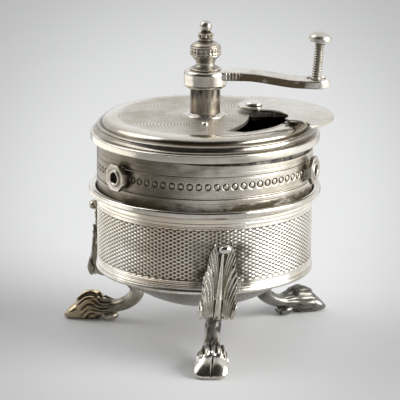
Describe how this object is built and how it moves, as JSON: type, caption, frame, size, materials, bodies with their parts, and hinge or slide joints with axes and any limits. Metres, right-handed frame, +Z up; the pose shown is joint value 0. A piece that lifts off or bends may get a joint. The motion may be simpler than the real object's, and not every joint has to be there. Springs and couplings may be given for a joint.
{
  "type": "hand-cranked table mill",
  "caption": "Silver table mill on hoofed legs: a crank turns a cone burr in a ring burr, a cover swings over the fill hole, and the mill head lifts off the receiver drum.",
  "frame": {"origin": "on the table, under the axis of the spindle, in the plane of the hoof soles", "axes": "+Z up along the spindle, -Y towards the front leg, +X to the side that the crank arm points to at rest"},
  "size_m": [0.0762, 0.075, 0.0896],
  "materials": {
    "silver": "worn polished silver with tarnish in the recesses",
    "dark_silver": "tarnished silver, brown and satin",
    "steel": "dark worn steel",
    "brass": "aged brass"
  },
  "bodies": {
    "receiver": {"receiver_drum": "silver", "receiver_rim": "silver", "base_ring": "silver", "receiver_bowl": "silver", "leg_front": "silver", "leg_right": "silver", "leg_left": "silver"},
    "mill_head": {"hopper_drum": "silver", "hopper_spigot": "dark_silver", "lid": "silver", "boss_right": "silver", "boss_left": "silver", "boss_back": "silver", "frame_screws": "steel", "neck_sleeve": "dark_silver", "sleeve_collar": "silver", "sleeve_nut": "brass", "pivot_screw": "silver", "pivot_nut": "brass", "stop_stud": "silver", "mill_frame": "steel", "ring_burr": "steel", "bearing_bridge": "steel", "bridge_screws": "steel", "spindle_bush": "brass"},
    "cover": {"fill_cover": "silver"},
    "crank": {"crank_hub": "silver", "crank_arm": "silver"},
    "handle": {"handle_post": "dark_silver", "post_washer": "steel"},
    "rotor": {"spindle": "steel", "cone_burr": "steel", "burr_nut": "steel"},
    "finial": {"finial_nut": "silver"}
  },
  "joints": [
    {"name": "mill_lift", "type": "slide", "parent": "receiver", "child": "mill_head", "axis": [0, 0, 1], "range_m": [0, 0.02]},
    {"name": "cover_swing", "type": "hinge", "parent": "mill_head", "child": "cover", "pos_m": [0.01421, 0.00378, 0.0636], "axis": [0, 0, 1], "range_deg": [-56, 0]},
    {"name": "crank_turn", "type": "hinge", "parent": "mill_head", "child": "crank", "pos_m": [0, 0, 0.0734], "axis": [0, 0, 1], "continuous": true},
    {"name": "handle_spin", "type": "hinge", "parent": "crank", "child": "handle", "pos_m": [0.02983, -0.00634, 0.0736], "axis": [0.0801, -0.017, 0.9966], "continuous": true},
    {"name": "finial_turn", "type": "hinge", "parent": "crank", "child": "finial", "pos_m": [0, 0, 0.0761], "axis": [0, 0, 1], "range_deg": [0, 360]},
    {"name": "rotor_drop", "type": "slide", "parent": "crank", "child": "rotor", "axis": [0, 0, 1], "range_m": [-0.0006, 0]}
  ],
  "couplings": [
    {"joint": "finial_turn", "follows": "rotor_drop", "rad_per_m": -10472}
  ]
}
